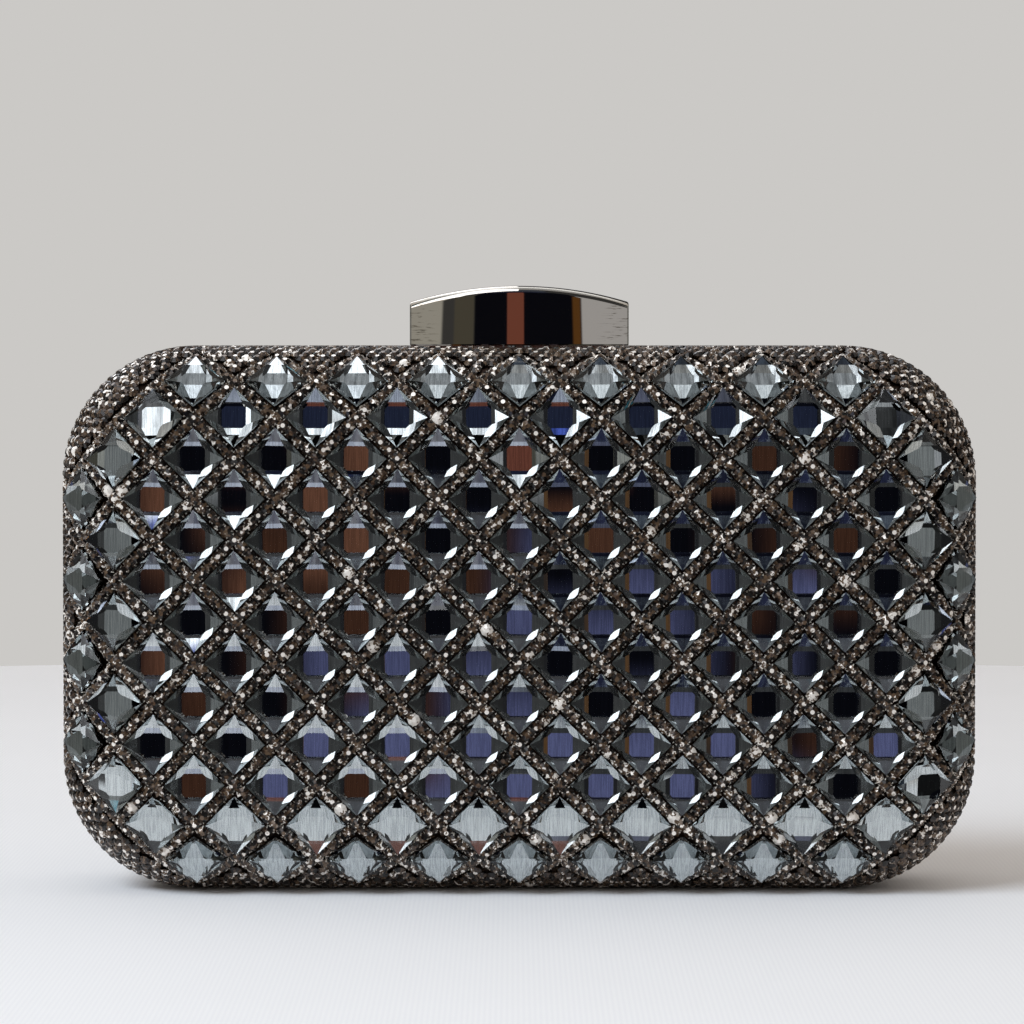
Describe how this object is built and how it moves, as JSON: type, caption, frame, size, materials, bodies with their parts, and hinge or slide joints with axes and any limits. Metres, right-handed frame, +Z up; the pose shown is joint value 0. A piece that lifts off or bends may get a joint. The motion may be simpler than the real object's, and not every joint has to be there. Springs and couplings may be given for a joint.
{
  "type": "minaudiere",
  "caption": "Hard metal box clutch that opens on a bottom hinge, covered in small rhinestones and a lattice of square crystals, with an arched lever clasp on top.",
  "frame": {"origin": "middle of the underside, on the plane where the two halves meet", "axes": "+X along the width, to the right as seen from the front; the front face looks along -Y; +Z up to the clasp"},
  "size_m": [0.2, 0.0532, 0.132],
  "materials": {
    "shell_metal": "black nickel plated pressed sheet",
    "rhinestones": "dark smoky brown foiled rhinestones, close set",
    "frame_metal": "pale nickel plate, polished",
    "lining": "dark brown satin on card",
    "crystal": "clear cut glass over silver foil",
    "hinge_metal": "nickel plate",
    "clasp_metal": "mirror polished warm nickel with fine scratches",
    "spring_steel": "bright spring steel",
    "clasp_works": "plated steel"
  },
  "bodies": {
    "front_half": {"front_shell": "shell_metal", "front_cover": "rhinestones", "front_frame": "frame_metal", "front_lining": "lining", "front_hinge_leaf": "hinge_metal", "hinge_pin": "hinge_metal", "front_hinge_rivets": "hinge_metal", "clasp_base": "clasp_works", "clasp_base_rivets": "clasp_works", "clasp_pivot_pin": "clasp_works", "clasp_spring": "spring_steel", "front_crystals_row_01": "crystal", "front_crystals_row_02": "crystal", "front_crystals_row_03": "crystal", "front_crystals_row_04": "crystal", "front_crystals_row_05": "crystal", "front_crystals_row_06": "crystal", "front_crystals_row_07": "crystal", "front_crystals_row_08": "crystal", "front_crystals_row_09": "crystal", "front_crystals_row_10": "crystal", "front_crystals_row_11": "crystal", "front_crystals_row_12": "crystal", "front_crystals_row_13": "crystal"},
    "rear_half": {"rear_shell": "shell_metal", "rear_cover": "rhinestones", "rear_frame": "frame_metal", "rear_lining": "lining", "rear_hinge_leaf": "hinge_metal", "rear_hinge_rivets": "hinge_metal", "clasp_catch": "spring_steel", "clasp_catch_rivets": "clasp_works", "rear_crystals_row_01": "crystal", "rear_crystals_row_02": "crystal", "rear_crystals_row_03": "crystal", "rear_crystals_row_04": "crystal", "rear_crystals_row_05": "crystal", "rear_crystals_row_06": "crystal", "rear_crystals_row_07": "crystal", "rear_crystals_row_08": "crystal", "rear_crystals_row_09": "crystal", "rear_crystals_row_10": "crystal", "rear_crystals_row_11": "crystal", "rear_crystals_row_12": "crystal", "rear_crystals_row_13": "crystal"},
    "clasp": {"clasp_lever": "clasp_metal", "clasp_hook": "clasp_works"}
  },
  "joints": [
    {"name": "case_hinge", "type": "hinge", "parent": "front_half", "child": "rear_half", "pos_m": [0, 0, 0.0012], "axis": [-1, 0, 0], "range_deg": [0, 90], "deforming": ["clasp_catch"]},
    {"name": "clasp_tilt", "type": "hinge", "parent": "front_half", "child": "clasp", "pos_m": [0, -0.00391, 0.1212], "axis": [1, 0, 0], "range_deg": [0, 18], "stiffness_Nm_per_rad": 0.03, "springref_deg": -28.65, "deforming": ["clasp_spring"]}
  ]
}
